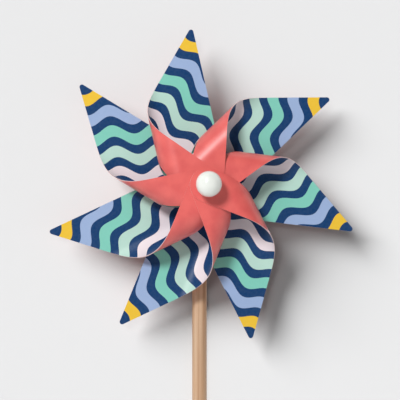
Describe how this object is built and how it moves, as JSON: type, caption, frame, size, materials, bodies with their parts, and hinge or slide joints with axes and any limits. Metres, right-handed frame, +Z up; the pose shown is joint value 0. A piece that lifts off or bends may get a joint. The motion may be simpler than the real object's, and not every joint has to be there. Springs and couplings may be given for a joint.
{
  "type": "pinwheel",
  "caption": "Hand pinwheel: curled, wave-printed plastic blades on a pin and tube hub, turning freely on an upright wooden stick, with a round ball at the front.",
  "frame": {"origin": "middle of the flat face at the stick's bottom end", "axes": "+Z up along the stick, -Y out of the front of the wheel along its axle, +X to the right seen from the front"},
  "size_m": [0.1975, 0.065, 0.3974],
  "materials": {
    "blade_sheet": "thin semi-gloss plastic sheet, printed with wavy bands of navy, mint, periwinkle and pale pink with a yellow band near the tip, coral on the back",
    "stick_wood": "plain sanded dowel with fine straight grain",
    "pin_steel": "bright drawn wire",
    "ball_plastic": "off-white, smooth and glossy",
    "hub_plastic": "natural off-white moulded plastic"
  },
  "bodies": {
    "stick": {"stick": "stick_wood", "axle_pin": "pin_steel", "front_ball": "ball_plastic"},
    "wheel": {"blade_1": "blade_sheet", "blade_2": "blade_sheet", "blade_3": "blade_sheet", "blade_4": "blade_sheet", "blade_5": "blade_sheet", "blade_6": "blade_sheet", "blade_7": "blade_sheet", "hub_tube": "hub_plastic", "front_washer": "hub_plastic", "rear_washer": "hub_plastic"},
    "bead": {"spacer_bead": "hub_plastic"}
  },
  "joints": [
    {"name": "wheel_spin", "type": "hinge", "parent": "stick", "child": "wheel", "pos_m": [0, -0.028, 0.295], "axis": [0, -1, 0], "continuous": true},
    {"name": "bead_spin", "type": "hinge", "parent": "stick", "child": "bead", "pos_m": [0, -0.008, 0.295], "axis": [0, -1, 0], "continuous": true}
  ]
}
